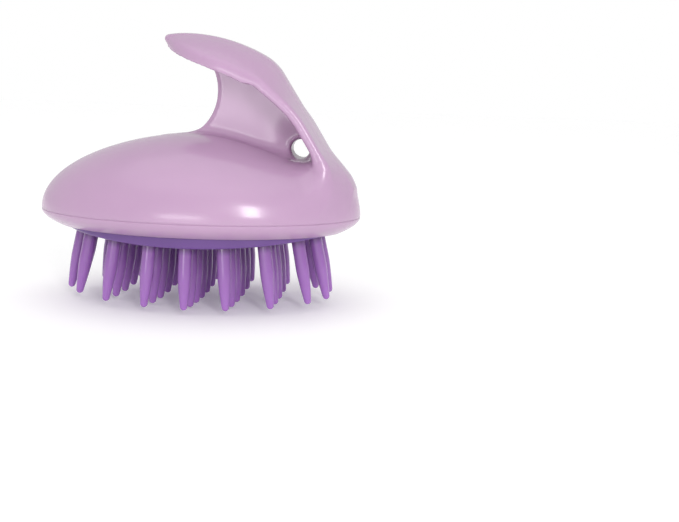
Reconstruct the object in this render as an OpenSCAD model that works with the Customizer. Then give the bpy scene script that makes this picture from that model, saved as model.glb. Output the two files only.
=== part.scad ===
// Scalp massager brush: a hollow domed body with a hooked grip on top and a field of round
// bristles below. It stands on its bristle tips: Z is up, the grip opens towards -X, and the
// XZ plane is the plane of symmetry. Sizes are millimetres.

/* [Body] */
// Length of the body at its girth
body_length = 90; // [84:1:108]
// Width of the body at its girth
body_width = 60; // [56:1:72]
// Height of the dome above the girth
dome_height = 21.8; // [19:0.2:26]
// Fullness of the dome at its sides, where 2 is an ellipsoid
side_fullness = 2.4; // [2:0.05:2.8]
// Fullness of the dome at its front end
front_fullness = 1.75; // [1.6:0.05:2.4]
// Fullness of the dome at its rear end
rear_fullness = 5.5; // [3:0.1:6]
// Share of its height that the dome loses towards the rear
rear_fall = 0.25; // [0.1:0.01:0.28]
// Wall of the upper shell
shell_wall = 2.6; // [2.2:0.1:3.2]

/* [Lower rim] */
// Height of the lower rim below the girth
rim_drop = 4.3; // [4:0.1:6]
// How far the opening lies inside the girth, all round
rim_inset = 5.7; // [5.2:0.1:7]
// Flat width of the rim's lower edge
rim_land = 0.8; // [0.6:0.1:1.4]
// Thickness of the lip that holds the pad's edge
rim_lip = 1; // [0.8:0.1:1.6]
// Height of the tongue that fits into the upper shell
tongue_height = 2.4; // [1.6:0.1:3]
// Thickness of the tongue
tongue_wall = 1.45; // [1.2:0.05:1.8]

/* [Pad] */
// Radius of the pad's outward bulge
pad_radius = 150; // [130:5:220]
// How far the pad stands below the rim at its middle
pad_bulge = 4.8; // [4.4:0.1:6]
// Thickness of the pad
pad_wall = 2; // [1.6:0.1:2.4]
// Thickness of the pad's upright side
pad_side = 1.6; // [1.2:0.1:2]
// Width of the flange that the rim holds
pad_flange = 1.2; // [0.9:0.1:1.3]
// Gap between the pad and the rim
pad_gap = 0.25; // [0.15:0.05:0.4]

/* [Bristles] */
// Length of a bristle below the pad
bristle_length = 16.5; // [13:0.5:22]
// Diameter of a bristle at its root
bristle_d = 3.6; // [3:0.1:4]
// Diameter of a bristle's rounded tip
tip_d = 1.9; // [1.4:0.1:2.4]
// Extra length of the bristles at either end of the pad
end_gain = 1.7; // [0:0.1:2.2]
// Share of the length that tapers
taper_share = 0.5; // [0.3:0.05:0.8]
// Diameter of the hidden head
head_d = 5; // [4.6:0.1:5.2]
// Thickness of the hidden head
head_h = 1.2; // [1:0.1:1.6]
// Distance from the outermost bristles to the pad's edge
edge_margin = 4.6; // [4.4:0.1:5.5]

/* [Grip] */
// Height of the grip's top above the girth
grip_height = 48.6; // [45:0.2:56]
// How far the hook's nose lies ahead of the middle
nose_reach = 10.2; // [7:0.2:14]
// Half of the grip's width
grip_half_w = 14.5; // [12:0.5:17]
// Thickness of the grip's sheet
grip_wall = 2.8; // [2.4:0.1:3.4]
// Sideways crown of the hook
hook_crown = 6.3; // [3:0.1:7]
// Thickness of the web between the grip and the dome
web_wall = 6; // [5:0.5:8]
// Radius of the finger arc in front of the web
finger_r = 13.8; // [12:0.2:15]
// Diameter of the hanging hole
hole_d = 5.2; // [4:0.2:6.4]

/* [Carrier plate] */
// Thickness of the plate behind the bristles
plate_wall = 1.8; // [1.4:0.1:2.4]
// Diameter of a post
post_d = 4; // [3:0.5:5]
// Diameter of a socket boss
boss_d = 7.6; // [7:0.2:9]
// Clearance of a post in its socket and of the tongue in the shell
fit_gap = 0.1; // [0.05:0.05:0.2]

/* [Hidden] */
a = body_length / 2;
b = body_width / 2;
girth_z = bristle_length + pad_bulge + rim_drop;
rim_z = girth_z - rim_drop;

// Facets of the moulded shapes, and of true circles
n_round = 56;
n_rise = 14;
top_angle = 89;
$fn = 64;
sphere_fn = 360;

// Rim: the tongue, and the seat that holds the pad's flange and the plate's edge
seat_inset = rim_inset - pad_gap - pad_flange - 0.3;
tongue_in = 2 * tongue_wall;
tongue_relief = 0.2;

// Pad: outline, flange and the centre of its spherical bulge
pad_fullness = 2;
pad_a = a - rim_inset - pad_gap;
pad_b = b - rim_inset - pad_gap;
sphere_z = bristle_length + pad_radius;
flange_z = rim_z + rim_lip;
flange_h = 1.2;

// Plate: it rests on the bristle heads and on the pad's flange
plate_r = pad_radius - pad_wall - head_h - fit_gap;
plate_edge = 1;
plate_inset = pad_side + 0.5;
post_x = 20;
post_y = 10;
post_top = girth_z + 11;
boss_bottom = girth_z + 5;
socket_spare = 0.5;
boss_facets = 28;

// Bristles stand in columns across the pad, the same at the front and at the rear
column_x = [0, 10.5, 21, 29.5, 33.5];
column_count = [7, 6, 5, 2, 2];
pin_a = pad_a - edge_margin;
pin_b = pad_b - edge_margin;
column_scale = pin_a / 34.45;
function half_span(x) = pin_b * pow(1 - pow(abs(x) / pin_a, pad_fullness), 1 / pad_fullness);
function column(x, n) = [for (j = [0 : n - 1]) [x, half_span(x) * (2 * j / (n - 1) - 1)]];
front_pins = [for (k = [len(column_x) - 1 : -1 : 1]) each column(-column_x[k] * column_scale, column_count[k])];
rear_pins = [for (k = [0 : len(column_x) - 1]) each column(column_x[k] * column_scale, column_count[k])];
pins = concat(front_pins, rear_pins);
function pin_name(i) = str("bristle_", i < 9 ? "0" : "", i + 1);

// Grip crest in the plane of symmetry: a long arc, a bend and a straight back
top_r = 46;
top_x = -4;
top_end = 62;
bend_r = 13;
bend_end = 32;
back_length = 35;
top_c = [top_x, girth_z + grip_height - top_r];
bend_c = top_c + (top_r - bend_r) * [cos(top_end), sin(top_end)];
back_start = bend_c + bend_r * [cos(bend_end), sin(bend_end)];
nose_angle = 90 + asin((nose_reach + top_x) / top_r);
arc_length = top_r * (nose_angle - top_end) * PI / 180;
bend_length = bend_r * (top_end - bend_end) * PI / 180;
crest_length = arc_length + bend_length + back_length;
function crest_angle(s) =
    s < arc_length ? nose_angle - s / top_r * 180 / PI :
    s < arc_length + bend_length ? top_end - (s - arc_length) / bend_r * 180 / PI : bend_end;
function crest_point(s) =
    s < arc_length ? top_c + top_r * [cos(crest_angle(s)), sin(crest_angle(s))] :
    s < arc_length + bend_length ? bend_c + bend_r * [cos(crest_angle(s)), sin(crest_angle(s))] :
    back_start + (s - arc_length - bend_length) * [sin(bend_end), -cos(bend_end)];

// Grip sheet: it widens from the nose, and its sideways crown fades down the back and
// deepens again at the foot, where it follows the dome
nose_length = 22;
back_crown = 0.4;
foot_crown = 9;
foot_start = arc_length + bend_length + 26.8;
n_along = 30;
n_across = 12;
function smooth(u) = let (t = min(1, max(0, u))) t * t * (3 - 2 * t);
function half_width(s) = grip_half_w * pow(1 - pow(1 - min(1, s / nose_length), 2), 0.62);
function crown(s) =
    let (fade = smooth((s - arc_length + 1.7) / 24), foot = smooth((s - foot_start) / 14))
    (hook_crown * (1 - fade) + back_crown * fade) * half_width(s) / grip_half_w + foot_crown * foot;

// Finger arc and hanging hole, in the plane of symmetry
finger_c = [-9.1, girth_z + grip_height - 15.1];
hole_c = [28.1, girth_z + 18.5];

lilac = [0.78, 0.66, 0.80];
purple = [0.50, 0.30, 0.62];

// A closed oval of n points
function oval(ra, rb, fullness, n) =
    [for (i = [0 : n - 1]) let (c = cos(360 * i / n), s = sin(360 * i / n))
        [ra * sign(c) * pow(abs(c), 2 / fullness), rb * sign(s) * pow(abs(s), 2 / fullness)]];

// How much of its height the dome keeps at x
function fall(x) = 1 - rear_fall * smooth(x / 30);

// A solid of stacked rings, each with n points, closed by a point or a flat face at either end
module stack(rings) {
    n = len(rings[0]);
    m = len(rings);
    sides = [for (k = [0 : m - 2], i = [0 : n - 1]) let (j = (i + 1) % n)
        each [[k * n + i, (k + 1) * n + i, k * n + j], [k * n + j, (k + 1) * n + i, (k + 1) * n + j]]];
    ends = [[for (i = [0 : n - 1]) i], [for (i = [n - 1 : -1 : 0]) (m - 1) * n + i]];
    polyhedron([for (r = rings) each r], concat(sides, ends));
}

// A closed oval ring whose section is a list of [inset, z] points
module oval_ring(section) {
    n = n_round;
    m = len(section);
    points = [for (p = section, q = oval(a - p[0], b - p[0], 2, n)) [q[0], q[1], p[1]]];
    faces = [for (k = [0 : m - 1], i = [0 : n - 1]) let (j = (i + 1) % n, l = (k + 1) % m)
        each [[k * n + i, k * n + j, l * n + i], [k * n + j, l * n + j, l * n + i]]];
    polyhedron(points, faces);
}

// Fullness of the dome at an angle in plan, where 0 is the rear
function fullness_at(t) =
    let (end = cos(t) > 0 ? rear_fullness : front_fullness)
    side_fullness + (end - side_fullness) * cos(t) * cos(t);

// Rings of a dome from its base up to its middle, the given cut below the outer one
function dome_rings(ra, rb, base_z, cut) =
    [for (k = [0 : n_rise]) let (share = cos(top_angle * k / n_rise))
        [for (i = [0 : n_round - 1])
            let (t = 360 * i / n_round, x = ra * share * cos(t), y = rb * share * sin(t),
                 h = sqrt(1 - pow(share, fullness_at(t))))
            [x, y, base_z + (dome_height * fall(x) - cut) * h]]];

module dome_solid() {
    stack(dome_rings(a, b, girth_z, 0));
}

// Inside of the shell: a rebate for the tongue, then the hollow of the dome
module dome_hollow() {
    rebate = tongue_wall - fit_gap;
    step_z = girth_z + tongue_height + tongue_relief;
    cut = shell_wall + tongue_height + tongue_relief;
    low = [for (p = [[rebate, girth_z - 1], [rebate, step_z]])
        [for (q = oval(a - p[0], b - p[0], 2, n_round)) [q[0], q[1], p[1]]]];
    stack(concat(low, dome_rings(a - shell_wall, b - shell_wall, step_z, cut)));
}

// Across the grip: out along its outer face and back along its inner one
function grip_section(s) =
    let (w = max(0.6, half_width(s)), c = crown(s), p = crest_point(s), g = crest_angle(s),
         end_thin = 0.8 + 0.2 * smooth(s / 4))
    [for (side = [0, 1], i = [0 : n_across])
        let (u = (side == 0 ? 1 : -1) * (1 - 2 * i / n_across),
             depth = c * u * u + side * grip_wall * end_thin * (1 - 0.15 * pow(abs(u), 6)),
             lift = side == 0 ? grip_wall * 0.12 * pow(abs(u), 8) : 0)
        [p[0] - (depth + lift) * cos(g), u * w, p[1] - (depth + lift) * sin(g)]];

module grip_sheet() {
    stack([for (i = [0 : n_along]) grip_section(crest_length * i / n_along)]);
}

// The web stands under the grip sheet and runs down into the dome's wall
module web() {
    half_sheet = grip_wall / 2;
    edge = [for (i = [2 : n_along]) let (s = crest_length * i / n_along, g = crest_angle(s))
        crest_point(s) - half_sheet * [cos(g), sin(g)]];
    translate([0, web_wall / 2, 0]) rotate([90, 0, 0]) linear_extrude(web_wall) difference() {
        polygon(concat(edge, [[a - 12, girth_z + 4], [-6, girth_z + 12], [-6, edge[0][1]]]));
        translate(finger_c) circle(finger_r);
    }
}

module posts(d, z0, z1) {
    for (sx = [-1, 1], sy = [-1, 1]) translate([sx * post_x, sy * post_y, z0]) cylinder(d = d, h = z1 - z0);
}

// The shell as moulded: dome, grip and web around the hollow, in one mesh brought to size
module shell_moulding() {
    resize([body_length, body_width, 0]) difference() {
        union() {
            dome_solid();
            grip_sheet();
            web();
        }
        difference() {
            dome_hollow();
            posts(boss_d, boss_bottom, girth_z + dome_height, $fn = boss_facets);
        }
    }
}

module upper_shell() {
    color(lilac) difference() {
        shell_moulding();
        posts(post_d + 2 * fit_gap, boss_bottom - 1, post_top + socket_spare);
        translate([hole_c[0], web_wall / 2 + 1, hole_c[1]]) rotate([90, 0, 0])
            cylinder(d = hole_d, h = web_wall + 2);
    }
}

module lower_rim() {
    n_curve = 7;
    reach = rim_inset - rim_land;
    outer = [for (k = [0 : n_curve]) let (t = k / n_curve) [reach * pow(t, 1.7), girth_z - rim_drop * t]];
    inner = [[rim_inset, rim_z], [rim_inset, rim_z + rim_lip], [seat_inset, rim_z + rim_lip],
             [seat_inset, girth_z - 0.8], [tongue_in, girth_z + 0.2],
             [tongue_in, girth_z + tongue_height], [tongue_wall, girth_z + tongue_height],
             [tongue_wall, girth_z]];
    color(lilac) oval_ring(concat(outer, inner));
}

module oval_prism(inset, z0, z1) {
    translate([0, 0, z0]) linear_extrude(z1 - z0)
        polygon(oval(pad_a - inset, pad_b - inset, pad_fullness, 72));
}

// A ball on the pad's centre of curvature, with its poles turned away from the pad
module ball(r) {
    translate([0, 0, sphere_z]) rotate([90, 0, 0]) sphere(r, $fn = sphere_fn);
}

// Places children at the pad's outer face, square to it, pointing outwards
module at_pin(p) {
    r = norm(p);
    translate([0, 0, sphere_z]) rotate([0, 0, r > 0 ? atan2(p[1], p[0]) : 0])
        rotate([0, 180 - asin(r / pad_radius), 0]) translate([0, 0, pad_radius]) children();
}

module bristle_pad() {
    color(purple) difference() {
        union() {
            intersection() {
                oval_prism(0, bristle_length - 1, flange_z + flange_h);
                ball(pad_radius);
            }
            oval_prism(-pad_flange, flange_z, flange_z + flange_h);
        }
        intersection() {
            oval_prism(pad_side, bristle_length, flange_z + flange_h + 1);
            ball(pad_radius - pad_wall);
        }
        for (p = pins) at_pin(p) translate([0, 0, -pad_wall - 1])
            cylinder(d = bristle_d + fit_gap, h = pad_wall + 2);
    }
}

// One bristle: hidden head, straight root, taper and rounded tip
module bristle(i) {
    reach = bristle_length + end_gain * pow(pins[i][0] / pin_a, 2);
    straight = reach * (1 - taper_share);
    tip_r = tip_d / 2;
    mid_r = (bristle_d / 2 + tip_r) / 2 + 0.28;
    mid_z = straight + (reach - tip_r - straight) * 0.55;
    cap = [for (t = [0 : 15 : 90]) [tip_r * cos(t), reach - tip_r + tip_r * sin(t)]];
    color(purple) at_pin(pins[i]) rotate_extrude() polygon(concat(
        [[0, -pad_wall - head_h], [head_d / 2, -pad_wall - head_h], [head_d / 2, -pad_wall],
         [bristle_d / 2, -pad_wall], [bristle_d / 2, straight], [mid_r, mid_z]], cap));
}

module carrier_plate() {
    top_z = flange_z + flange_h;
    color(purple) union() {
        difference() {
            intersection() {
                oval_prism(plate_inset, bristle_length, top_z + plate_edge);
                ball(plate_r);
            }
            intersection() {
                oval_prism(plate_inset + plate_wall, bristle_length, top_z + plate_edge + 1);
                ball(plate_r - plate_wall);
            }
        }
        difference() {
            oval_prism(-pad_flange, top_z, top_z + plate_edge);
            oval_prism(plate_inset + plate_wall, top_z - 1, top_z + plate_edge + 1);
            for (p = pins) at_pin(p) translate([0, 0, -pad_wall - head_h - fit_gap])
                cylinder(d = head_d + 2 * fit_gap, h = pad_wall + head_h);
        }
        posts(post_d, girth_z - 3, post_top);
    }
}

upper_shell();
lower_rim();
carrier_plate();
bristle_pad();
for (i = [0 : len(pins) - 1])
    bristle(i);
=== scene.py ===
"""Looks of a scalp massager brush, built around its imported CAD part.

The brush stands on its bristle tips: Z is up, the grip's hook opens towards -X, and the XZ plane is
the plane of symmetry. Shapes are worked out in millimetres in the row frame and written in metres.
"""

import logging
import math
from dataclasses import dataclass, field
from enum import Enum

import bmesh
import bpy
import numpy as np
from mathutils import Matrix, Vector

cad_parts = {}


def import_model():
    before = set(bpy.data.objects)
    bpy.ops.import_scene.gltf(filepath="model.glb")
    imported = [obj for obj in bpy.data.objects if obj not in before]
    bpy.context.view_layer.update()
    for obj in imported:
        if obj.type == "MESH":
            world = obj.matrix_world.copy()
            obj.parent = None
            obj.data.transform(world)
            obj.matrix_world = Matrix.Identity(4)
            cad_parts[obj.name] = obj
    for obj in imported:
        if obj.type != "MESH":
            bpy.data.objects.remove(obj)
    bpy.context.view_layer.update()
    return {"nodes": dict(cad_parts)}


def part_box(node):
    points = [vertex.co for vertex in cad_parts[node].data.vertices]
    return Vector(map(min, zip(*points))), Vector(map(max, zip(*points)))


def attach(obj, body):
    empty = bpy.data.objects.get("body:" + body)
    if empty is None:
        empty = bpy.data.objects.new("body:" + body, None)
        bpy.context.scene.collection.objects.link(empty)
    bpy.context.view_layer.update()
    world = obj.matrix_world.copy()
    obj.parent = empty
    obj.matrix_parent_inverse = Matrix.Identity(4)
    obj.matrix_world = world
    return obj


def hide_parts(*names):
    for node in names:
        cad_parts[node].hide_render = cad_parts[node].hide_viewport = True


LOG = logging.getLogger("brush")
MM = 0.001
BODY = "root"


# ---------------------------------------------------------------- small tools


def smooth_step(u: np.ndarray) -> np.ndarray:
    """Returns a soft ramp from 0 to 1 as u goes from 0 to 1."""
    t = np.clip(u, 0.0, 1.0)
    return t * t * (3.0 - 2.0 * t)


def soft_min(a: np.ndarray, b: np.ndarray, k: float) -> np.ndarray:
    """Returns the union of two distance fields, with a fillet about k wide where they meet."""
    h = np.maximum(k - np.abs(a - b), 0.0) / k
    return np.minimum(a, b) - h * h * k * 0.25


def soft_max(a: np.ndarray, b: np.ndarray, k: float) -> np.ndarray:
    """Returns the overlap of two distance fields, with an edge rounding about k wide."""
    return -soft_min(-a, -b, k)


def make_object(name: str, vertices: np.ndarray, faces: list) -> bpy.types.Object:
    """Makes a smooth-shaded mesh object at the origin from points in millimetres.

    Args:
        name: The piece's name.
        vertices: Points, one row each, in millimetres.
        faces: Lists of vertex indices, each seen anticlockwise from outside.

    Returns:
        The new object, linked into the scene.
    """
    mesh = bpy.data.meshes.new(name)
    mesh.from_pydata((np.asarray(vertices, float) * MM).tolist(), [], faces)
    mesh.validate()
    mesh.polygons.foreach_set("use_smooth", [True] * len(mesh.polygons))
    obj = bpy.data.objects.new(name, mesh)
    bpy.context.scene.collection.objects.link(obj)
    return obj


def sharpen(obj: bpy.types.Object, degrees: float) -> None:
    """Marks the edges of a mesh that turn by more than the given angle as sharp."""
    bm = bmesh.new()
    bm.from_mesh(obj.data)
    limit = math.radians(degrees)
    for edge in bm.edges:
        edge.smooth = len(edge.link_faces) == 2 and edge.calc_face_angle(0.0) < limit
    bm.to_mesh(obj.data)
    bm.free()


def oval(ra: float, rb: float, fullness: float, count: int) -> np.ndarray:
    """Returns the points of a closed oval, where fullness 2 is an ellipse."""
    t = np.arange(count) * 2.0 * math.pi / count
    c, s = np.cos(t), np.sin(t)
    power = 2.0 / fullness
    return np.stack([ra * np.sign(c) * np.abs(c) ** power, rb * np.sign(s) * np.abs(s) ** power], 1)


def ring_faces(rings: int, count: int, closed: bool = False) -> list:
    """Returns the quads between rings of equal point counts, laid end to end."""
    last = rings if closed else rings - 1
    faces = []
    for k in range(last):
        here, after = k * count, (k + 1) % rings * count
        for i in range(count):
            j = (i + 1) % count
            faces.append([here + i, here + j, after + j, after + i])
    return faces


# ---------------------------------------------------------------- finishes


class Surface(Enum):
    """How fine the mottling of a moulded surface is."""

    POLISHED = 0.02
    SATIN = 0.05


@dataclass(frozen=True)
class Plastic:
    """A glossy moulded plastic with faint flow marks, gloss variation and fine waviness."""

    name: str
    base: tuple
    shade: tuple
    roughness: float
    surface: Surface
    subsurface: float
    subsurface_radius: tuple
    flow_scale: float = 38.0
    flow_detail: float = 3.0
    flow_distortion: float = 0.6
    flow_range: tuple = (0.3, 0.7)
    gloss_ratio: float = 6.0
    gloss_detail: float = 4.0
    waviness: float = 0.012
    wave_height: float = 0.001
    subsurface_depth: float = 0.004
    coat: float = 0.25
    coat_roughness: float = 0.12
    ior: float = 1.5

    def build(self) -> bpy.types.Material:
        """Returns the node material, read from Object coordinates."""
        mat = bpy.data.materials.new(self.name)
        mat.use_nodes = True
        nodes, links = mat.node_tree.nodes, mat.node_tree.links
        bsdf = nodes["Principled BSDF"]
        coords = nodes.new("ShaderNodeTexCoord")
        flow = nodes.new("ShaderNodeTexNoise")
        flow.inputs["Scale"].default_value = self.flow_scale
        flow.inputs["Detail"].default_value = self.flow_detail
        flow.inputs["Distortion"].default_value = self.flow_distortion
        links.new(coords.outputs["Object"], flow.inputs["Vector"])
        ramp = nodes.new("ShaderNodeValToRGB")
        for stop, place, tone in zip(ramp.color_ramp.elements, self.flow_range, (self.shade, self.base)):
            stop.position = place
            stop.color = (*tone, 1.0)
        links.new(flow.outputs["Fac"], ramp.inputs["Fac"])
        self.colour(mat, ramp.outputs["Color"], bsdf.inputs["Base Color"])
        gloss = nodes.new("ShaderNodeTexNoise")
        gloss.inputs["Scale"].default_value = self.flow_scale * self.gloss_ratio
        gloss.inputs["Detail"].default_value = self.gloss_detail
        links.new(coords.outputs["Object"], gloss.inputs["Vector"])
        spread = nodes.new("ShaderNodeMapRange")
        spread.inputs["To Min"].default_value = self.roughness - self.surface.value
        spread.inputs["To Max"].default_value = self.roughness + self.surface.value
        links.new(gloss.outputs["Fac"], spread.inputs["Value"])
        links.new(spread.outputs["Result"], bsdf.inputs["Roughness"])
        bump = nodes.new("ShaderNodeBump")
        bump.inputs["Strength"].default_value = self.waviness
        bump.inputs["Distance"].default_value = self.wave_height
        links.new(gloss.outputs["Fac"], bump.inputs["Height"])
        links.new(bump.outputs["Normal"], bsdf.inputs["Normal"])
        bsdf.inputs["Subsurface Weight"].default_value = self.subsurface
        bsdf.inputs["Subsurface Radius"].default_value = self.subsurface_radius
        bsdf.inputs["Subsurface Scale"].default_value = self.subsurface_depth
        bsdf.inputs["Coat Weight"].default_value = self.coat
        bsdf.inputs["Coat Roughness"].default_value = self.coat_roughness
        bsdf.inputs["IOR"].default_value = self.ior
        return mat

    def colour(
        self, mat: bpy.types.Material, source: bpy.types.NodeSocket, target: bpy.types.NodeSocket
    ) -> None:
        """Joins the flow-mark colour to the shader."""
        mat.node_tree.links.new(source, target)


@dataclass(frozen=True)
class BristlePlastic(Plastic):
    """The plastic of the bristles: painted shade darkens the root where the bristles crowd the pad, and the
    colour grows lighter towards the thin tip.
    """

    # Colour scale at the root: painted shade where the bristles meet the pad.
    painted_root_shade: float = 0.45
    root_share: float = 0.12
    tip_light: float = 1.25

    def colour(
        self, mat: bpy.types.Material, source: bpy.types.NodeSocket, target: bpy.types.NodeSocket
    ) -> None:
        """Grades the colour along each bristle, read from the mesh's own attribute, with painted shade at
        the root.
        """
        nodes, links = mat.node_tree.nodes, mat.node_tree.links
        along = nodes.new("ShaderNodeAttribute")
        along.attribute_name = Bristles.ALONG
        grade = nodes.new("ShaderNodeValToRGB")
        # Painted shade: this first stop darkens each bristle's root, where the bristles crowd the pad.
        grade.color_ramp.elements[0].position = 0.0
        grade.color_ramp.elements[0].color = (self.painted_root_shade,) * 3 + (1.0,)
        grade.color_ramp.elements[1].position = 1.0
        grade.color_ramp.elements[1].color = (self.tip_light,) * 3 + (1.0,)
        middle = grade.color_ramp.elements.new(self.root_share)
        middle.color = (1.0, 1.0, 1.0, 1.0)
        links.new(along.outputs["Fac"], grade.inputs["Fac"])
        mix = nodes.new("ShaderNodeMix")
        mix.data_type = "RGBA"
        mix.blend_type = "MULTIPLY"
        mix.inputs["Factor"].default_value = 1.0
        links.new(source, mix.inputs["A"])
        links.new(grade.outputs["Color"], mix.inputs["B"])
        links.new(mix.outputs["Result"], target)


# ---------------------------------------------------------------- driving sizes


@dataclass
class BrushSizes:
    """The brush's driving sizes in millimetres, taken from the CAD boxes where they tell them."""

    half_length: float
    half_width: float
    girth_z: float
    rim_z: float
    grip_top: float
    pad_half_length: float
    pad_half_width: float
    pad_top_z: float
    bristle_length: float = 16.5
    end_gain: float = 1.7
    pad_radius: float = 150.0

    @classmethod
    def from_frame(cls) -> "BrushSizes":
        """Reads the sizes from the boxes of the CAD nodes."""
        shell_lo, shell_hi = (Vector(c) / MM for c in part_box("upper_shell"))
        rim_lo, _ = (Vector(c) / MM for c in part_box("lower_rim"))
        _, pad_hi = (Vector(c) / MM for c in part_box("bristle_pad"))
        return cls(
            half_length=shell_hi.x,
            half_width=shell_hi.y,
            girth_z=shell_lo.z,
            rim_z=rim_lo.z,
            grip_top=shell_hi.z,
            pad_half_length=pad_hi.x,
            pad_half_width=pad_hi.y,
            pad_top_z=pad_hi.z,
        )

    @property
    def bulge_centre(self) -> Vector:
        """Returns the centre of the pad's spherical bulge."""
        return Vector((0.0, 0.0, self.bristle_length + self.pad_radius))


# ---------------------------------------------------------------- upper shell


@dataclass
class Crest:
    """The grip's crest in the plane of symmetry: a long arc, a bend and a straight back."""

    girth_z: float
    grip_top: float
    nose_reach: float = 10.2
    top_r: float = 46.0
    top_x: float = -4.0
    top_end: float = 62.0
    bend_r: float = 13.0
    bend_end: float = 32.0
    back_length: float = 34.0
    step: float = 0.1
    chunk: int = 4000
    s: np.ndarray = field(init=False)
    points: np.ndarray = field(init=False)
    normals: np.ndarray = field(init=False)
    bend_start: float = field(init=False)
    back_start: float = field(init=False)
    length: float = field(init=False)

    def __post_init__(self) -> None:
        """Samples the curve evenly, with its outward normals."""
        nose = 90.0 + math.degrees(math.asin((self.nose_reach + self.top_x) / self.top_r))
        arc = self.top_r * math.radians(nose - self.top_end)
        bend = self.bend_r * math.radians(self.top_end - self.bend_end)
        total = arc + bend + self.back_length
        s = np.linspace(0.0, total, int(total / self.step) + 1)
        on_arc = nose - np.degrees(s / self.top_r)
        on_bend = self.top_end - np.degrees((s - arc) / self.bend_r)
        g = np.radians(np.maximum(np.where(s < arc, on_arc, on_bend), self.bend_end))
        self.normals = np.stack([np.cos(g), np.sin(g)], 1)
        direction = np.stack([np.sin(g), -np.cos(g)], 1)
        middle = (direction[1:] + direction[:-1]) / 2.0
        steps = middle * np.diff(s)[:, None]
        top_c = np.array([self.top_x, self.grip_top - self.top_r])
        start = top_c + self.top_r * self.normals[0]
        self.points = start + np.vstack([[0.0, 0.0], np.cumsum(steps, 0)])
        self.bend_start = arc
        self.back_start = arc + bend
        self.length = total
        self.s = s

    def locate(self, x: np.ndarray, z: np.ndarray) -> tuple:
        """Finds where points of the plane of symmetry lie on the crest.

        Args:
            x: The points' x.
            z: The points' z, as an array of the same shape.

        Returns:
            The length along the crest and the depth below it, each shaped like x.
        """
        flat = np.stack([x.ravel(), z.ravel()], 1)
        index = np.empty(len(flat), int)
        for lo in range(0, len(flat), self.chunk):
            gap = flat[lo : lo + self.chunk, None, :] - self.points[None]
            index[lo : lo + self.chunk] = np.argmin((gap**2).sum(2), 1)
        away = flat - self.points[index]
        normal = self.normals[index]
        tangent = np.stack([normal[:, 1], -normal[:, 0]], 1)
        along = self.s[index] + (away * tangent).sum(1)
        return along.reshape(x.shape), -(away * normal).sum(1).reshape(x.shape)


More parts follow.
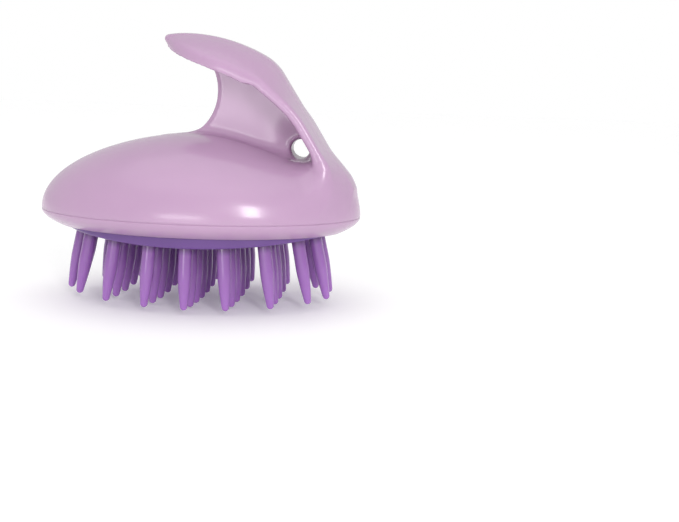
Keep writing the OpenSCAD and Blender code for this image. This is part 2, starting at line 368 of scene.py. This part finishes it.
@dataclass
class UpperShell:
    """The lilac moulding: hollow dome, web with its hanging hole, and hooked grip."""

    sizes: BrushSizes
    finish: Plastic
    dome_height: float = 21.8
    side_fullness: float = 2.4
    front_fullness: float = 1.75
    rear_fullness: float = 5.5
    rear_fall: float = 0.25
    wall: float = 2.6
    rebate: float = 1.35
    rebate_height: float = 2.6
    grip_half_w: float = 14.5
    grip_wall: float = 2.8
    lip_wall: float = 2.5
    nose_length: float = 22.0
    hook_crown: float = 6.3
    back_crown: float = 0.4
    foot_crown: float = 9.0
    fade_lead: float = 1.7
    fade_length: float = 24.0
    foot_start: float = 26.8
    foot_length: float = 14.0
    nose_thinning: float = 0.15
    edge_radius: float = 0.85
    web_half: float = 2.7
    hole_r: float = 2.6
    hole_swell: float = 1.6
    finger_r: float = 13.8
    web_fillet: float = 2.4
    foot_fillet: float = 2.2
    heel_start: float = 14.0
    heel_length: float = 12.0
    heel_fillet: float = 7.0
    web_edge: float = 1.2
    hole_edge: float = 1.8
    swell_reach: float = 6.0
    edge_chamfer: float = 0.22
    margin: float = 1.75
    field_reach: float = 9.0
    table_step: float = 0.5
    rounds: int = 5
    pulls: int = 2
    cell: float = 0.5
    quick_cell: float = 0.9

    def __post_init__(self) -> None:
        """Places the crest, the finger arc and the hanging hole."""
        s = self.sizes
        self.crest = Crest(s.girth_z, s.grip_top)
        self.finger_c = (-9.1, s.grip_top - 15.1)
        self.hole_c = (28.1, s.girth_z + 18.5)

    def dome(self, x: np.ndarray, y: np.ndarray, z: np.ndarray, inset: float, cut: float) -> np.ndarray:
        """Returns a field that is 0 on a dome set in from the outer one, and grows outwards."""
        a, b = self.sizes.half_length - inset, self.sizes.half_width - inset
        rise = self.dome_height * (1.0 - self.rear_fall * smooth_step(x / 30.0)) - cut
        h = np.maximum(z - self.sizes.girth_z, 0.0) / rise
        r = np.maximum(np.sqrt((x / a) ** 2 + (y / b) ** 2), 1e-4)
        turn = (x / a / r) ** 2
        end = np.where(x > 0.0, self.rear_fullness, self.front_fullness)
        fullness = self.side_fullness + (end - self.side_fullness) * turn
        return (r**fullness + h * h) ** (1.0 / 2.2) - 1.0

    def as_distance(self, value: np.ndarray) -> np.ndarray:
        """Scales a sampled field to distance near its zero surface."""
        slope = np.sqrt(sum(g**2 for g in np.gradient(value, self.cell)))
        return np.clip(value / np.maximum(slope, 1e-3), -self.field_reach, self.field_reach)

    def half_width(self, s: np.ndarray) -> np.ndarray:
        """Returns the grip's half width at a length along its crest."""
        t = np.clip(s / self.nose_length, 0.0, 1.0)
        return self.grip_half_w * (1.0 - (1.0 - t) ** 2) ** 0.62

    def crown(self, s: np.ndarray) -> np.ndarray:
        """Returns how far the grip's edges lie below its crest."""
        fade = smooth_step((s - self.crest.bend_start + self.fade_lead) / self.fade_length)
        foot = smooth_step((s - self.crest.back_start - self.foot_start) / self.foot_length)
        hook = self.hook_crown * (1.0 - fade) + self.back_crown * fade
        return hook * self.half_width(s) / self.grip_half_w + self.foot_crown * foot

    def outline_distance(self, s: np.ndarray, y: np.ndarray) -> np.ndarray:
        """Returns the distance to the grip's outline, negative inside, laid flat."""
        step = self.table_step
        table_s = np.arange(-8.0, self.crest.length + 8.0, step)
        table_y = np.arange(0.0, self.sizes.half_width + 4.0, step)
        u = np.linspace(0.0, 1.0, 220) ** 2
        straight = np.arange(self.nose_length, self.crest.length + 20.0, 0.4)
        edge_s = np.concatenate([u * self.nose_length, straight])
        edge = np.stack([edge_s, self.half_width(edge_s)], 1)
        gs, gy = np.meshgrid(table_s, table_y, indexing="ij")
        flat = np.stack([gs.ravel(), gy.ravel()], 1)
        gap = np.empty(len(flat))
        for lo in range(0, len(flat), 3000):
            away = flat[lo : lo + 3000, None] - edge[None]
            gap[lo : lo + 3000] = np.sqrt((away**2).sum(2).min(1))
        sign = np.where((gy < self.half_width(gs)) & (gs > 0.0), -1.0, 1.0)
        table = gap.reshape(gs.shape) * sign
        fs = np.clip((s - table_s[0]) / step, 0.0, len(table_s) - 1.001)
        fy = np.clip(np.abs(y) / step, 0.0, len(table_y) - 1.001)
        i, j = fs.astype(int), fy.astype(int)
        ds, dy = fs - i, fy - j
        low = table[i, j] * (1 - ds) + table[i + 1, j] * ds
        high = table[i, j + 1] * (1 - ds) + table[i + 1, j + 1] * ds
        return low * (1 - dy) + high * dy

    def samples(self) -> tuple:
        """Samples the moulding's distance field.

        Returns:
            The samples on a regular grid, and the grid's lowest corner.
        """
        z0 = self.sizes.girth_z
        half_l, half_w = self.sizes.half_length, self.sizes.half_width
        low = np.array([-half_l, -half_w, z0]) - self.margin
        high = np.array([half_l, half_w, self.sizes.grip_top]) + self.margin
        axes = [np.arange(low[i], high[i] + self.cell, self.cell) for i in range(3)]
        x, y, z = np.meshgrid(*axes, indexing="ij")
        dome = self.as_distance(self.dome(x, y, z, 0.0, 0.0))
        hollow = self.as_distance(self.dome(x, y, z, self.wall, self.wall))
        ring = self.dome(x, y, np.zeros_like(z), self.rebate, 0.0)
        ring = np.maximum(self.as_distance(ring), z - z0 - self.rebate_height)
        flat_x, flat_z = np.meshgrid(axes[0], axes[2], indexing="ij")
        along, depth = self.crest.locate(flat_x, flat_z)
        along, depth = along[:, None, :], depth[:, None, :]
        grip = self.grip(along, depth, y)
        web = np.maximum(self.web(x, y, z, depth), along - self.crest.length)
        heel = smooth_step((along - self.crest.back_start - self.heel_start) / self.heel_length)
        fillet = self.foot_fillet + (self.heel_fillet - self.foot_fillet) * heel
        body = soft_min(soft_min(grip, web, self.web_fillet), dome, fillet)
        reach = np.hypot(x - self.hole_c[0], z - self.hole_c[1])
        hole = np.maximum(reach - self.hole_r, np.abs(y) - 7.0)
        body = soft_max(body, -hole, self.hole_edge)
        body = np.maximum(body, -np.minimum(hollow, ring))
        return body, low

    def grip(self, along: np.ndarray, depth: np.ndarray, y: np.ndarray) -> np.ndarray:
        """Returns the distance to the grip's curved sheet, whose edges are rounded."""
        u = np.clip(y / self.grip_half_w, -1.2, 1.2)
        crown = self.crown(along)
        width = self.half_width(along)
        thick = self.lip_wall + (self.grip_wall - self.lip_wall) * (1.0 - u * u)
        thick = thick * (1.0 - self.nose_thinning * (1.0 - smooth_step(width / 9.0)))
        middle = crown * (y / np.maximum(width, 3.0)) ** 2 + self.grip_wall / 2.0
        slope = 2.0 * crown * np.abs(y) / np.maximum(width, 3.0) ** 2
        face = np.abs(depth - middle) / np.sqrt(1.0 + np.minimum(slope, 1.5) ** 2) - thick / 2.0
        side = self.outline_distance(np.broadcast_to(along, y.shape), y)
        side = np.maximum(side, along - self.crest.length)
        fx, fy = face + self.edge_radius, side + self.edge_radius
        outside = np.hypot(np.maximum(fx, 0.0), np.maximum(fy, 0.0))
        return outside + np.minimum(np.maximum(fx, fy), 0.0) - self.edge_radius

    def web(self, x: np.ndarray, y: np.ndarray, z: np.ndarray, depth: np.ndarray) -> np.ndarray:
        """Returns the distance to the web, which swells round the hanging hole."""
        near = np.hypot(x - self.hole_c[0], z - self.hole_c[1])
        half = self.web_half + self.hole_swell * np.exp(-((near / self.swell_reach) ** 2))
        arc = self.finger_r - np.hypot(x - self.finger_c[0], z - self.finger_c[1])
        plate = soft_max(np.abs(y) - half, arc, self.web_edge)
        plate = np.maximum(plate, self.finger_c[0] - x)
        return np.maximum(plate, self.grip_wall / 2.0 - depth)

    def surface(self, samples: np.ndarray, low: np.ndarray) -> tuple:
        """Draws the zero surface of the samples through the grid's cells.

        Args:
            samples: The sampled distance field.
            low: The grid's lowest corner.

        Returns:
            The vertices and the quads, seen anticlockwise from outside.
        """
        shape = np.array(samples.shape) - 1
        total = np.zeros((*shape, 3))
        count = np.zeros(shape)
        for axis in range(3):
            others = [k for k in range(3) if k != axis]
            for shift in ((0, 0), (0, 1), (1, 0), (1, 1)):
                start = np.zeros(3, int)
                start[others[0]], start[others[1]] = shift
                end = start.copy()
                end[axis] += 1
                fa = samples[tuple(slice(start[k], start[k] + shape[k]) for k in range(3))]
                fb = samples[tuple(slice(end[k], end[k] + shape[k]) for k in range(3))]
                cross = (fa < 0) != (fb < 0)
                t = np.where(cross, fa / np.where(cross, fa - fb, 1.0), 0.0)
                count += cross
                for k in range(3):
                    total[..., k] += np.where(cross, start[k] + (t if k == axis else 0.0), 0.0)
        active = count > 0
        index = np.full(shape, -1)
        index[active] = np.arange(active.sum())
        corner = np.argwhere(active)
        vertices = low + (corner + total[active] / count[active][:, None]) * self.cell
        quads = []
        for axis in range(3):
            o1, o2 = (axis + 1) % 3, (axis + 2) % 3
            inner = [slice(None)] * 3
            inner[axis] = slice(0, shape[axis])
            inner[o1] = slice(1, shape[o1])
            inner[o2] = slice(1, shape[o2])
            nxt = list(inner)
            nxt[axis] = slice(1, shape[axis] + 1)
            fa, fb = samples[tuple(inner)] < 0, samples[tuple(nxt)] < 0
            for flip, change in ((False, fa & ~fb), (True, ~fa & fb)):
                cell = np.argwhere(change)
                cell[:, o1] += 1
                cell[:, o2] += 1
                around = []
                for d1, d2 in ((-1, -1), (0, -1), (0, 0), (-1, 0)):
                    at = cell.copy()
                    at[:, o1] += d1
                    at[:, o2] += d2
                    around.append(index[tuple(at.T)])
                quad = np.stack(around, 1)
                quads.append(quad[:, ::-1] if flip else quad)
        return vertices, np.concatenate(quads)

    def settle(
        self, vertices: np.ndarray, quads: np.ndarray, samples: np.ndarray, low: np.ndarray
    ) -> np.ndarray:
        """Evens out the vertices and brings them back onto the field's zero surface.

        Args:
            vertices: The surface's points.
            quads: The surface's faces.
            samples: The sampled distance field.
            low: The grid's lowest corner.

        Returns:
            The moved points.
        """
        limit = np.array(samples.shape) - 1.001
        edges = np.concatenate([quads[:, [i, (i + 1) % 4]] for i in range(4)])

        def value(p: np.ndarray) -> np.ndarray:
            """Returns the field at any point, read between the samples."""
            q = np.clip((p - low) / self.cell, 0.0, limit)
            i = q.astype(int)
            f = q - i
            out = 0.0
            for c in np.ndindex(2, 2, 2):
                weight = np.prod(np.where(np.array(c), f, 1.0 - f), 1)
                out = out + weight * samples[i[:, 0] + c[0], i[:, 1] + c[1], i[:, 2] + c[2]]
            return out

        h = self.cell * 0.6
        for _ in range(self.rounds):
            near = np.zeros_like(vertices)
            number = np.zeros(len(vertices))
            for a, b in ((0, 1), (1, 0)):
                np.add.at(near, edges[:, a], vertices[edges[:, b]])
                np.add.at(number, edges[:, a], 1.0)
            vertices = vertices + 0.5 * (near / number[:, None] - vertices)
            for _ in range(self.pulls):
                rise = [value(vertices + h * e) - value(vertices - h * e) for e in np.eye(3)]
                slope = np.stack(rise, 1) / (2 * h)
                steep = np.maximum((slope**2).sum(1), 0.2)
                step = value(vertices) / steep
                vertices = vertices - np.clip(step, -0.3, 0.3)[:, None] * slope
        return vertices

    def build(self) -> bpy.types.Object:
        """Builds the moulding, trims it at the girth and dresses it."""
        samples, low = self.samples()
        vertices, quads = self.surface(samples, low)
        vertices = self.settle(vertices, quads, samples, low)
        obj = make_object("upper_shell_moulding", vertices, quads.tolist())
        self.trim(obj)
        obj.data.materials.append(self.finish.build())
        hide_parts("upper_shell")
        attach(obj, BODY)
        return obj

    def trim(self, obj: bpy.types.Object) -> None:
        """Cuts the moulding flat at the girth, with a fine chamfer on the outer edge."""
        cut_z = (self.sizes.girth_z + self.edge_chamfer) * MM
        bm = bmesh.new()
        bm.from_mesh(obj.data)
        bmesh.ops.bisect_plane(
            bm,
            geom=bm.verts[:] + bm.edges[:] + bm.faces[:],
            dist=1e-7,
            plane_co=(0.0, 0.0, cut_z),
            plane_no=(0.0, 0.0, 1.0),
            clear_inner=True,
        )
        rim = [e for e in bm.edges if e.is_boundary]
        grown = bmesh.ops.extrude_edge_only(bm, edges=rim)["geom"]
        middle = (self.sizes.half_length + self.sizes.half_width) / 2.0 - self.rebate / 2.0
        for v in (g for g in grown if isinstance(g, bmesh.types.BMVert)):
            x, y = v.co.x / MM, v.co.y / MM
            share = math.hypot(x / self.sizes.half_length, y / self.sizes.half_width)
            if share > 1.0 - self.rebate / 2.0 / middle * 1.1:
                scale = 1.0 - self.edge_chamfer * 0.8 / math.hypot(x, y)
                v.co.x *= scale
                v.co.y *= scale
            v.co.z = self.sizes.girth_z * MM
        loops = [g for g in grown if isinstance(g, bmesh.types.BMEdge) and g.is_boundary]
        bmesh.ops.triangle_fill(bm, use_beauty=True, use_dissolve=False, edges=loops)
        bmesh.ops.recalc_face_normals(bm, faces=bm.faces[:])
        for f in bm.faces:
            f.smooth = True
        bm.to_mesh(obj.data)
        bm.free()
        sharpen(obj, 50.0)


# ---------------------------------------------------------------- lower rim


@dataclass
class LowerRim:
    """The lilac ring below the girth, whose lip holds the pad."""

    sizes: BrushSizes
    finish: Plastic
    inset: float = 5.7
    land: float = 0.8
    lip: float = 1.0
    chamfer: float = 0.22
    tongue: float = 1.45
    tongue_height: float = 2.4
    rounding: float = 0.25
    seat_width: float = 1.75
    curve_power: float = 1.75
    curve_steps: int = 18
    count: int = 256

    def section(self) -> list:
        """Returns the ring's section as (inset, z) points, down the outside and back up the inside."""
        top, low = self.sizes.girth_z, self.sizes.rim_z
        drop, reach = top - low, self.inset - self.land
        points = [(self.chamfer * 0.9, top)]
        for k in range(self.curve_steps + 1):
            t = k / self.curve_steps
            z = top - self.chamfer - (drop - self.chamfer) * t
            points.append((0.01 + (reach - 0.01) * t**self.curve_power, z))
        points += [(reach + self.rounding, low), (self.inset - self.rounding, low)]
        points += [(self.inset, low + self.rounding), (self.inset, low + self.lip)]
        seat = self.inset - self.seat_width
        points += [(seat, low + self.lip), (seat, top - 0.8), (2 * self.tongue, top + 0.2)]
        points += [(2 * self.tongue, top + self.tongue_height), (self.tongue, top + self.tongue_height)]
        points += [(self.tongue, top)]
        return points

    def build(self) -> bpy.types.Object:
        """Builds the ring by carrying its section round the oval."""
        rings = []
        for inset, z in self.section():
            plan = oval(self.sizes.half_length - inset, self.sizes.half_width - inset, 2.0, self.count)
            rings.append(np.column_stack([plan, np.full(self.count, z)]))
        faces = [f[::-1] for f in ring_faces(len(rings), self.count, closed=True)]
        obj = make_object("lower_rim_ring", np.concatenate(rings), faces)
        sharpen(obj, 30.0)
        obj.data.materials.append(self.finish.build())
        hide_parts("lower_rim")
        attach(obj, BODY)
        return obj


# ---------------------------------------------------------------- pad


@dataclass
class Pad:
    """The purple pad: a bulging tray whose flange the rim holds."""

    sizes: BrushSizes
    finish: Plastic
    flange: float = 1.2
    flange_h: float = 1.2
    wall: float = 2.0
    side: float = 1.6
    fullness: float = 2.0
    edge_round: float = 0.6
    count: int = 256

    def build(self) -> bpy.types.Object:
        """Builds the tray from rings: outer face, side, flange and inner face."""
        s = self.sizes
        ra, rb = s.pad_half_length - self.flange, s.pad_half_width - self.flange
        flange_z = s.pad_top_z - self.flange_h
        centre_z, big = s.bulge_centre.z, s.pad_radius

        def sheet(inset: float, share: float, radius: float) -> np.ndarray:
            """Returns one ring of a spherical face, at a share of its outline."""
            plan = oval(ra - inset, rb - inset, self.fullness, self.count) * share
            z = centre_z - np.sqrt(radius**2 - (plan**2).sum(1))
            return np.column_stack([plan, z])

        def level(inset: float, z: float) -> np.ndarray:
            """Returns one ring at a height."""
            plan = oval(ra - inset, rb - inset, self.fullness, self.count)
            return np.column_stack([plan, np.full(self.count, z)])

        rings = [sheet(0.0, max(t, 1e-3), big) for t in np.linspace(0.0, 1.0, 40)[:-1] * 0.985]
        for k in range(6):
            turn = k / 5.0 * math.pi / 2.0
            ring = sheet(self.edge_round * (1.0 - math.sin(turn)), 1.0, big)
            ring[:, 2] += self.edge_round * (1.0 - math.cos(turn))
            rings.append(ring)
        rings += [level(0.0, flange_z), level(-self.flange, flange_z), level(-self.flange, s.pad_top_z)]
        rings += [level(self.side, s.pad_top_z)]
        rings += [sheet(self.side, t, big - self.wall) for t in (1.0, 0.75, 0.5, 0.25, 1e-3)]
        faces = ring_faces(len(rings), self.count)
        last = (len(rings) - 1) * self.count
        faces.append(list(range(self.count))[::-1])
        faces.append([last + i for i in range(self.count)])
        obj = make_object("bristle_pad_tray", np.concatenate(rings), faces)
        bm = bmesh.new()
        bm.from_mesh(obj.data)
        bmesh.ops.recalc_face_normals(bm, faces=bm.faces[:])
        bm.to_mesh(obj.data)
        bm.free()
        sharpen(obj, 40.0)
        obj.data.materials.append(self.finish.build())
        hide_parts("bristle_pad")
        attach(obj, BODY)
        return obj


# ---------------------------------------------------------------- bristles


@dataclass
class Bristles:
    """The field of round bristles, one on each CAD bristle's axis, made by a node tree."""

    ALONG = "along"

    sizes: BrushSizes
    finish: Plastic
    nodes: dict
    root_d: float = 3.6
    tip_d: float = 2.0
    taper_start: float = 0.45
    taper_end: float = 0.94
    taper_power: float = 1.35
    crowding: float = 2.2
    pad_wall: float = 2.0
    flange: float = 1.2
    edge_margin: float = 4.6
    around: int = 32
    rings: int = 44

    def names(self) -> list:
        """Returns the names of the CAD bristles."""
        return sorted(n for n in self.nodes if n.startswith("bristle_") and n[8:].isdigit())

    def seats(self) -> bpy.types.Object:
        """Makes a helper of loose points on the pad's face, with each bristle's way out as an attribute."""
        centre = self.sizes.bulge_centre
        points, ways, stretch = [], [], []
        for name in self.names():
            lo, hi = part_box(name)
            middle = (Vector(lo) + Vector(hi)) / 2.0 / MM
            way = (middle - centre).normalized()
            point = centre + way * self.sizes.pad_radius
            share = abs(point.x) / (self.sizes.pad_half_length - self.flange - self.edge_margin)
            points.append(point)
            ways.append(way)
            stretch.append(1.0 + self.sizes.end_gain * share**2 / self.sizes.bristle_length)
        mesh = bpy.data.meshes.new("seats")
        mesh.from_pydata([p * MM for p in points], [], [])
        layer = mesh.attributes.new("way_out", "FLOAT_VECTOR", "POINT")
        layer.data.foreach_set("vector", [c for w in ways for c in w])
        layer = mesh.attributes.new("stretch", "FLOAT_VECTOR", "POINT")
        layer.data.foreach_set("vector", [c for k in stretch for c in (1.0, 1.0, k)])
        obj = bpy.data.objects.new("bristles", mesh)
        bpy.context.scene.collection.objects.link(obj)
        return obj

    def tree(self, material: bpy.types.Material) -> bpy.types.GeometryNodeTree:
        """Builds the node tree: a shaped pin on every seat, realised, with its material."""
        group = bpy.data.node_groups.new("bristle_field", "GeometryNodeTree")
        face = group.interface
        face.new_socket("Seats", in_out="INPUT", socket_type="NodeSocketGeometry")
        for name in ("Length", "Root radius", "Tip radius", "Taper start", "Sunk"):
            face.new_socket(name, in_out="INPUT", socket_type="NodeSocketFloat")
        face.new_socket("Bristles", in_out="OUTPUT", socket_type="NodeSocketGeometry")
        nodes, links = group.nodes, group.links
        given, out = nodes.new("NodeGroupInput"), nodes.new("NodeGroupOutput")

        def maths(kind: str, a: object, b: object = None, clamp: bool = False) -> bpy.types.NodeSocket:
            """Adds one sum and returns its result; a and b are sockets or numbers."""
            node = nodes.new("ShaderNodeMath")
            node.operation = kind
            node.use_clamp = clamp
            for slot, term in ((0, a), (1, b)):
                if isinstance(term, bpy.types.NodeSocket):
                    links.new(term, node.inputs[slot])
                elif term is not None:
                    node.inputs[slot].default_value = term
            return node.outputs[0]

        length, root_r, tip_r = (given.outputs[n] for n in ("Length", "Root radius", "Tip radius"))
        start, sunk = given.outputs["Taper start"], given.outputs["Sunk"]
        pin = nodes.new("GeometryNodeMeshCylinder")
        pin.inputs["Vertices"].default_value = self.around
        pin.inputs["Side Segments"].default_value = self.rings
        pin.inputs["Radius"].default_value = 1.0
        pin.inputs["Depth"].default_value = 1.0
        place = nodes.new("GeometryNodeInputPosition")
        split = nodes.new("ShaderNodeSeparateXYZ")
        links.new(place.outputs[0], split.inputs[0])
        raw = maths("ADD", split.outputs["Z"], 0.5, clamp=True)
        left = maths("SUBTRACT", 1.0, raw)
        step = maths("SUBTRACT", 1.0, maths("POWER", left, self.crowding))
        height = maths("SUBTRACT", maths("MULTIPLY", step, maths("ADD", length, sunk)), sunk)
        along = maths("DIVIDE", height, length, clamp=True)
        taper = maths("SUBTRACT", self.taper_end, start)
        ramp = maths("DIVIDE", maths("SUBTRACT", along, start), taper, clamp=True)
        bend = maths("POWER", ramp, self.taper_power)
        radius = maths("SUBTRACT", root_r, maths("MULTIPLY", bend, maths("SUBTRACT", root_r, tip_r)))
        past = maths("SUBTRACT", height, maths("SUBTRACT", length, tip_r))
        to_tip = maths("DIVIDE", past, tip_r, clamp=True)
        flat = maths("SUBTRACT", 1.0, maths("POWER", to_tip, 2.0))
        cap = maths("SQRT", maths("MAXIMUM", flat, 0.0004))
        shaped = maths("MULTIPLY", radius, cap)
        join = nodes.new("ShaderNodeCombineXYZ")
        links.new(maths("MULTIPLY", split.outputs["X"], shaped), join.inputs["X"])
        links.new(maths("MULTIPLY", split.outputs["Y"], shaped), join.inputs["Y"])
        links.new(height, join.inputs["Z"])
        store = nodes.new("GeometryNodeStoreNamedAttribute")
        store.data_type = "FLOAT"
        store.domain = "POINT"
        store.inputs["Name"].default_value = self.ALONG
        links.new(pin.outputs["Mesh"], store.inputs["Geometry"])
        links.new(along, store.inputs["Value"])
        shape = nodes.new("GeometryNodeSetPosition")
        links.new(store.outputs["Geometry"], shape.inputs["Geometry"])
        links.new(join.outputs[0], shape.inputs["Position"])
        soft = nodes.new("GeometryNodeSetShadeSmooth")
        links.new(shape.outputs["Geometry"], soft.inputs["Geometry"])
        way = nodes.new("GeometryNodeInputNamedAttribute")
        way.data_type = "FLOAT_VECTOR"
        way.inputs["Name"].default_value = "way_out"
        turn = nodes.new("FunctionNodeAlignRotationToVector")
        turn.axis = "Z"
        links.new(way.outputs["Attribute"], turn.inputs["Vector"])
        spread = nodes.new("GeometryNodeInstanceOnPoints")
        links.new(given.outputs["Seats"], spread.inputs["Points"])
        links.new(soft.outputs["Geometry"], spread.inputs["Instance"])
        links.new(turn.outputs["Rotation"], spread.inputs["Rotation"])
        grow = nodes.new("GeometryNodeInputNamedAttribute")
        grow.data_type = "FLOAT_VECTOR"
        grow.inputs["Name"].default_value = "stretch"
        links.new(grow.outputs["Attribute"], spread.inputs["Scale"])
        real = nodes.new("GeometryNodeRealizeInstances")
        links.new(spread.outputs["Instances"], real.inputs["Geometry"])
        dress = nodes.new("GeometryNodeSetMaterial")
        dress.inputs["Material"].default_value = material
        links.new(real.outputs["Geometry"], dress.inputs["Geometry"])
        links.new(dress.outputs["Geometry"], out.inputs["Bristles"])
        return group

    def build(self) -> bpy.types.Object:
        """Builds all bristles as one plain mesh that stands for the CAD bristles."""
        seats = self.seats()
        material = self.finish.build()
        group = self.tree(material)
        maker = seats.modifiers.new("field", "NODES")
        maker.node_group = group
        values = {
            "Length": self.sizes.bristle_length * MM,
            "Root radius": self.root_d / 2 * MM,
            "Tip radius": self.tip_d / 2 * MM,
            "Taper start": self.taper_start,
            "Sunk": self.pad_wall * MM,
        }
        for item in group.interface.items_tree:
            if item.item_type == "SOCKET" and item.in_out == "INPUT" and item.name in values:
                maker[item.identifier] = values[item.name]
        seats.update_tag()
        bpy.context.view_layer.update()
        depsgraph = bpy.context.evaluated_depsgraph_get()
        mesh = bpy.data.meshes.new_from_object(seats.evaluated_get(depsgraph), depsgraph=depsgraph)
        seats.modifiers.clear()
        bpy.data.objects.remove(seats)
        mesh.name = "bristle_field"
        obj = bpy.data.objects.new("bristle_field", mesh)
        bpy.context.scene.collection.objects.link(obj)
        sharpen(obj, 50.0)
        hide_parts(*self.names())
        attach(obj, BODY)
        return obj


# ---------------------------------------------------------------- studio


@dataclass(frozen=True)
class SoftLight:
    """One soft rectangular light that faces the brush."""

    name: str
    place: tuple
    size: tuple
    power: float


@dataclass
class Studio:
    """The plain floor, the soft lights and the camera."""

    azimuth: float = 4.05
    elevation: float = 10.46
    roll: float = 1.93
    lens: float = 46.5
    place: tuple = (0.0569, -0.2439, 0.0579)
    fill: float = 0.74
    overhead_from: tuple = (-0.1, -0.25, 1.0)
    overhead_spread: float = 70.0
    overhead_strength: float = 0.55
    middle: tuple = (0.0, 0.0, 0.04)
    lights: tuple = (
        SoftLight("key", (0.29, -0.6, 0.25), (0.11, 0.24), 1.5),
        SoftLight("low_strip", (-0.12, -0.6, 0.06), (0.24, 0.05), 0.3),
    )
    floor_half: float = 4.0
    floor_tone: float = 0.96
    floor_glow: float = 0.14
    floor_roughness: float = 0.7

    def camera(self) -> None:
        """Sets the camera, turned a little about its own line of sight."""
        az, el, roll = (math.radians(v) for v in (self.azimuth, self.elevation, self.roll))
        back = Vector((math.sin(az) * math.cos(el), -math.cos(az) * math.cos(el), math.sin(el)))
        right = Vector((math.cos(az), math.sin(az), 0.0))
        up = back.cross(right)
        x_axis = right * math.cos(roll) + up * math.sin(roll)
        y_axis = -right * math.sin(roll) + up * math.cos(roll)
        data = bpy.data.cameras.new("camera")
        data.lens = self.lens
        data.sensor_width = 36.0
        obj = bpy.data.objects.new("camera", data)
        bpy.context.scene.collection.objects.link(obj)
        turn = Matrix((x_axis, y_axis, back)).transposed().to_4x4()
        obj.matrix_world = Matrix.Translation(self.place) @ turn
        bpy.context.scene.camera = obj

    def light(self, soft: SoftLight) -> None:
        """Adds one soft rectangular light that faces the brush's middle."""
        data = bpy.data.lights.new(soft.name, "AREA")
        data.shape = "RECTANGLE"
        data.size, data.size_y = soft.size
        data.energy = soft.power
        obj = bpy.data.objects.new(soft.name, data)
        obj.location = soft.place
        obj.rotation_mode = "QUATERNION"
        obj.rotation_quaternion = (Vector(self.middle) - Vector(soft.place)).to_track_quat("-Z", "Y")
        bpy.context.scene.collection.objects.link(obj)

    def overhead(self) -> None:
        """Adds one far, wide, round light above the brush."""
        data = bpy.data.lights.new("overhead", "SUN")
        data.angle = math.radians(self.overhead_spread)
        data.energy = self.overhead_strength
        obj = bpy.data.objects.new("overhead", data)
        obj.rotation_mode = "QUATERNION"
        obj.rotation_quaternion = Vector(self.overhead_from).to_track_quat("Z", "Y")
        bpy.context.scene.collection.objects.link(obj)

    def floor(self) -> None:
        """Adds a wide plain pale floor."""
        half = self.floor_half
        corners = [(-half, -half, 0.0), (half, -half, 0.0), (half, half, 0.0), (-half, half, 0.0)]
        mesh = bpy.data.meshes.new("floor")
        mesh.from_pydata(corners, [], [[0, 1, 2, 3]])
        obj = bpy.data.objects.new("floor", mesh)
        bpy.context.scene.collection.objects.link(obj)
        mat = bpy.data.materials.new("pale_floor")
        mat.use_nodes = True
        bsdf = mat.node_tree.nodes["Principled BSDF"]
        bsdf.inputs["Base Color"].default_value = (self.floor_tone,) * 3 + (1.0,)
        bsdf.inputs["Roughness"].default_value = self.floor_roughness
        bsdf.inputs["Emission Color"].default_value = (1.0, 1.0, 1.0, 1.0)
        bsdf.inputs["Emission Strength"].default_value = self.floor_glow
        mesh.materials.append(mat)

    def build(self) -> None:
        """Sets up the whole studio."""
        scene = bpy.context.scene
        scene.view_settings.view_transform = "Standard"
        world = bpy.data.worlds.new("studio")
        world.use_nodes = True
        nodes, links = world.node_tree.nodes, world.node_tree.links
        back = nodes["Background"]
        back.inputs["Color"].default_value = (1.0, 1.0, 1.0, 1.0)
        path = nodes.new("ShaderNodeLightPath")
        level = nodes.new("ShaderNodeMapRange")
        level.inputs["To Min"].default_value = self.fill
        level.inputs["To Max"].default_value = 1.0
        links.new(path.outputs["Is Camera Ray"], level.inputs["Value"])
        links.new(level.outputs["Result"], back.inputs["Strength"])
        scene.world = world
        self.floor()
        self.overhead()
        for soft in self.lights:
            self.light(soft)
        self.camera()


# ---------------------------------------------------------------- the brush


LILAC = Plastic(
    name="lilac_plastic",
    base=(0.475, 0.305, 0.46),
    shade=(0.45, 0.285, 0.44),
    roughness=0.24,
    surface=Surface.SATIN,
    subsurface=0.12,
    subsurface_radius=(1.0, 0.6, 1.0),
)
# Painted shade: the pad gets a darker purple than the bristles, though both are one plastic, to stand in
# for the shade under the bristle field.
PAD_PURPLE_PAINTED_SHADE = Plastic(
    name="purple_plastic",
    base=(0.13, 0.05, 0.24),
    shade=(0.11, 0.04, 0.21),
    roughness=0.16,
    surface=Surface.POLISHED,
    subsurface=0.15,
    subsurface_radius=(0.8, 0.35, 1.0),
)
BRISTLE = BristlePlastic(
    name="bristle_plastic",
    base=(0.27, 0.115, 0.37),
    shade=(0.245, 0.1, 0.34),
    roughness=0.2,
    surface=Surface.POLISHED,
    subsurface=0.3,
    subsurface_radius=(0.8, 0.35, 1.0),
)
PLATE = Plastic(
    name="plate_plastic",
    base=(0.25, 0.08, 0.39),
    shade=(0.22, 0.07, 0.36),
    roughness=0.3,
    surface=Surface.SATIN,
    subsurface=0.0,
    subsurface_radius=(1.0, 1.0, 1.0),
)


def dress_plate(nodes: dict) -> None:
    """Gives the hidden CAD carrier plate its moulded finish."""
    plate = nodes["carrier_plate"]
    plate.data.materials.clear()
    plate.data.materials.append(PLATE.build())


def main() -> None:
    """Builds the brush and its studio in order, and reports each piece."""
    logging.basicConfig(level=logging.INFO, format="%(name)s: %(message)s")
    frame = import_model()
    sizes = BrushSizes.from_frame()
    studio = Studio()
    studio.build()
    pieces = [
        UpperShell(sizes, LILAC).build(),
        LowerRim(sizes, LILAC).build(),
        Pad(sizes, PAD_PURPLE_PAINTED_SHADE).build(),
        Bristles(sizes, BRISTLE, frame["nodes"]).build(),
    ]
    for piece in pieces:
        LOG.info("%s: %d faces", piece.name, len(piece.data.polygons))
    dress_plate(frame["nodes"])
    LOG.info("carrier_plate: carried over from the CAD model")


if __name__ == "__main__":
    main()
